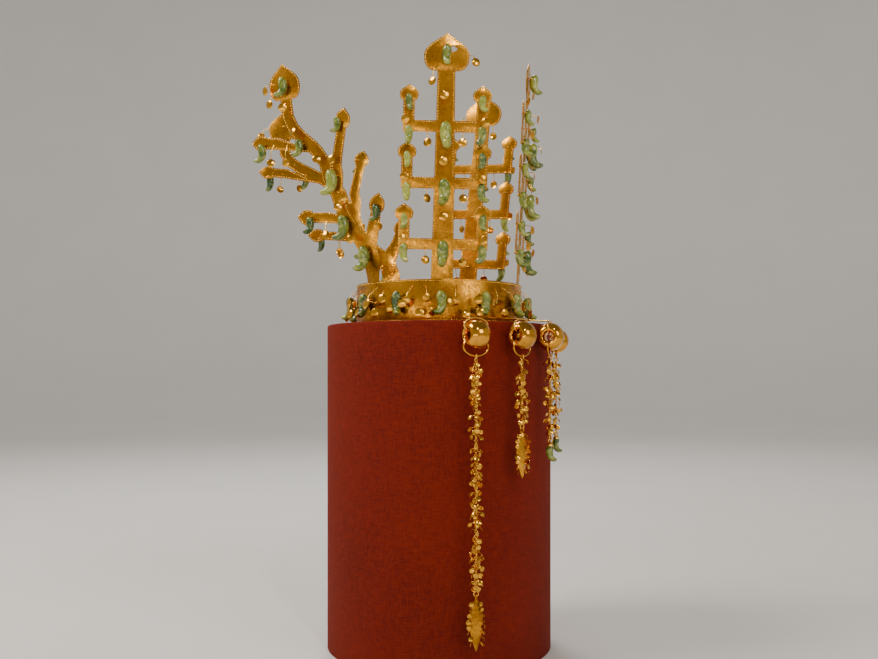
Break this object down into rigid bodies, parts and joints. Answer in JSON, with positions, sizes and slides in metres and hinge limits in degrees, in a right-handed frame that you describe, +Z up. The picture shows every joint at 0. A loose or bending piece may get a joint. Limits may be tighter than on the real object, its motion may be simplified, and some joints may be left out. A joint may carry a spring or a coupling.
{
  "type": "gold crown on a drum stand",
  "caption": "Gold headband with tree and antler uprights hung with comma jades and spangles, and ring-and-chain pendants, resting on a plain red cloth-covered drum stand.",
  "frame": {"origin": "middle of the stand's flat underside, on the floor", "axes": "+Z up, the crown's front faces -Y, the wearer's right is -X"},
  "size_m": [0.2708, 0.3616, 0.6165],
  "materials": {
    "gold": "polished and hammered sheet gold and gold wire, warm yellow",
    "jade": "polished pale green to whitish mottled jade",
    "red_cloth": "dark red-brown finely woven cloth stretched over a drum"
  },
  "bodies": {
    "crown_on_stand": {"stand": "red_cloth", "headband": "gold", "tree_front": "gold", "jade_tree_front_top": "jade", "jade_tree_front_tier1": "jade", "jade_tree_front_tier2": "jade", "jade_tree_front_tier3": "jade", "tree_right": "gold", "jade_tree_right_top": "jade", "jade_tree_right_tier1": "jade", "jade_tree_right_tier2": "jade", "jade_tree_right_tier3": "jade", "tree_left": "gold", "jade_tree_left_top": "jade", "jade_tree_left_tier1": "jade", "jade_tree_left_tier2": "jade", "jade_tree_left_tier3": "jade", "antler_right": "gold", "jade_antler_right_low": "jade", "jade_antler_right_middle": "jade", "jade_antler_right_high": "jade", "jade_antler_right_top": "jade", "antler_left": "gold", "jade_antler_left_low": "jade", "jade_antler_left_middle": "jade", "jade_antler_left_high": "jade", "jade_antler_left_top": "jade", "hook_right_outer": "gold", "fat_ring_right_outer": "gold", "thin_ring_right_outer": "gold", "chain_right_outer": "gold", "hook_right_middle": "gold", "fat_ring_right_middle": "gold", "thin_ring_right_middle": "gold", "chain_right_middle": "gold", "hook_right_inner": "gold", "fat_ring_right_inner": "gold", "thin_ring_right_inner": "gold", "chain_right_inner": "gold", "hook_left_outer": "gold", "fat_ring_left_outer": "gold", "thin_ring_left_outer": "gold", "chain_left_outer": "gold", "hook_left_middle": "gold", "fat_ring_left_middle": "gold", "thin_ring_left_middle": "gold", "chain_left_middle": "gold", "hook_left_inner": "gold", "fat_ring_left_inner": "gold", "thin_ring_left_inner": "gold", "chain_left_inner": "gold"},
    "drop_right_outer": {"drop_right_outer": "gold"},
    "drop_right_middle": {"drop_right_middle": "gold"},
    "drop_right_inner": {"drop_right_inner": "jade"},
    "drop_left_outer": {"drop_left_outer": "gold"},
    "drop_left_middle": {"drop_left_middle": "gold"},
    "drop_left_inner": {"drop_left_inner": "jade"}
  },
  "joints": [
    {"name": "drop_right_outer_swing", "type": "hinge", "parent": "crown_on_stand", "child": "drop_right_outer", "pos_m": [-0.12144, -0.05663, 0.0826], "axis": [-0.9063, -0.4226, 0], "range_deg": [-35, 35]},
    {"name": "drop_right_middle_swing", "type": "hinge", "parent": "crown_on_stand", "child": "drop_right_middle", "pos_m": [-0.09224, -0.0972, 0.2386], "axis": [-0.6884, -0.7254, 0], "range_deg": [-35, 35]},
    {"name": "drop_right_inner_swing", "type": "hinge", "parent": "crown_on_stand", "child": "drop_right_inner", "pos_m": [-0.05557, -0.12194, 0.2256], "axis": [-0.4147, -0.91, 0], "range_deg": [-35, 35]},
    {"name": "drop_left_outer_swing", "type": "hinge", "parent": "crown_on_stand", "child": "drop_left_outer", "pos_m": [0.12144, -0.05663, 0.0826], "axis": [0.9063, -0.4226, 0], "range_deg": [-35, 35]},
    {"name": "drop_left_middle_swing", "type": "hinge", "parent": "crown_on_stand", "child": "drop_left_middle", "pos_m": [0.09224, -0.0972, 0.2386], "axis": [0.6884, -0.7254, 0], "range_deg": [-35, 35]},
    {"name": "drop_left_inner_swing", "type": "hinge", "parent": "crown_on_stand", "child": "drop_left_inner", "pos_m": [0.05557, -0.12194, 0.2256], "axis": [0.4147, -0.91, 0], "range_deg": [-35, 35]}
  ]
}
